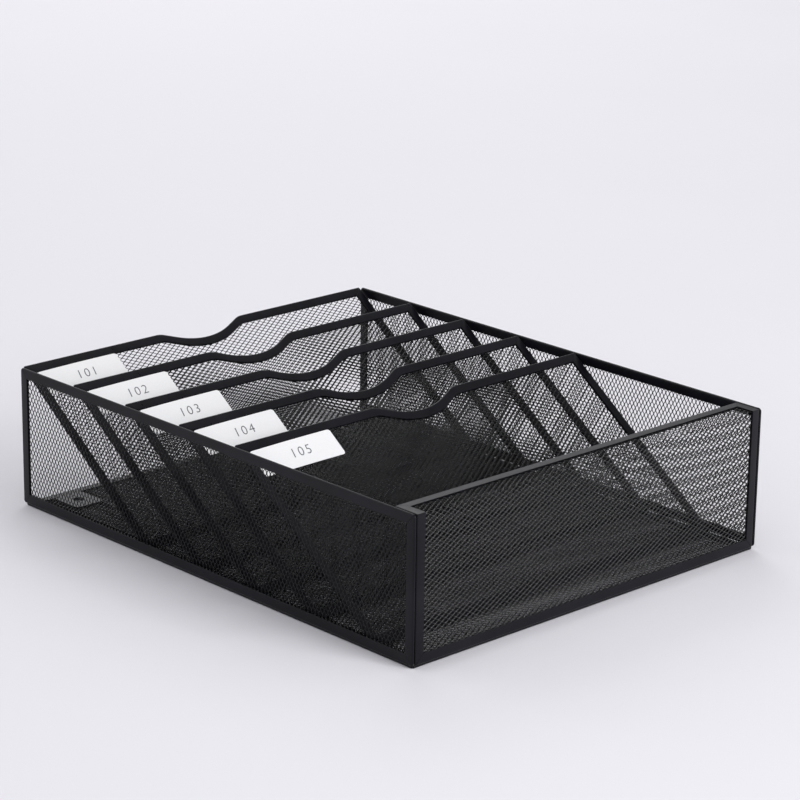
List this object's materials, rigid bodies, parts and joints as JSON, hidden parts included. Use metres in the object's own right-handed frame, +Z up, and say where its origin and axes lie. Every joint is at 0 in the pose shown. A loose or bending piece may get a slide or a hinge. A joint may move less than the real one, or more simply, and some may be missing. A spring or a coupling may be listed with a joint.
{
  "type": "desktop file sorter",
  "caption": "Black expanded-mesh file sorter with slanted pockets, a tray with a ledge, label cards and hanging plates, lying on its back panel.",
  "frame": {"origin": "middle of the underside, on the surface that the sorter lies on", "axes": "+X to the right across the sorter, +Y along it from the ledge end to the open end, +Z up, away from the back panel"},
  "size_m": [0.325, 0.4035, 0.1025],
  "materials": {
    "rail": "black powder coat on folded steel channel, satin",
    "mesh": "black powder coat on fine expanded steel mesh",
    "plate": "black powder coat on flat steel",
    "label_card": "uncoated white paper card"
  },
  "bodies": {
    "root": {"back_far_rail": "rail", "back_left_rail": "rail", "back_mesh": "mesh", "back_near_rail": "rail", "back_right_rail": "rail", "divider_1_bottom_rail": "rail", "divider_1_label": "label_card", "divider_1_left_rail": "rail", "divider_1_mesh": "mesh", "divider_1_right_rail": "rail", "divider_1_top_rail": "rail", "divider_2_bottom_rail": "rail", "divider_2_label": "label_card", "divider_2_left_rail": "rail", "divider_2_mesh": "mesh", "divider_2_right_rail": "rail", "divider_2_top_rail": "rail", "divider_3_bottom_rail": "rail", "divider_3_label": "label_card", "divider_3_left_rail": "rail", "divider_3_mesh": "mesh", "divider_3_right_rail": "rail", "divider_3_top_rail": "rail", "divider_4_bottom_rail": "rail", "divider_4_label": "label_card", "divider_4_left_rail": "rail", "divider_4_mesh": "mesh", "divider_4_right_rail": "rail", "divider_4_top_rail": "rail", "divider_5_bottom_rail": "rail", "divider_5_label": "label_card", "divider_5_left_rail": "rail", "divider_5_mesh": "mesh", "divider_5_right_rail": "rail", "divider_5_top_rail": "rail", "end_bottom_rail": "rail", "end_left_rail": "rail", "end_mesh": "mesh", "end_right_rail": "rail", "hanging_plate_left": "plate", "hanging_plate_right": "plate", "ledge_left_rail": "rail", "ledge_lip_rail": "rail", "ledge_right_rail": "rail", "left_side_bottom_rail": "rail", "left_side_far_rail": "rail", "left_side_mesh": "mesh", "left_side_near_rail": "rail", "left_side_top_rail": "rail", "right_side_bottom_rail": "rail", "right_side_far_rail": "rail", "right_side_mesh": "mesh", "right_side_near_rail": "rail", "right_side_top_rail": "rail"}
  },
  "joints": []
}
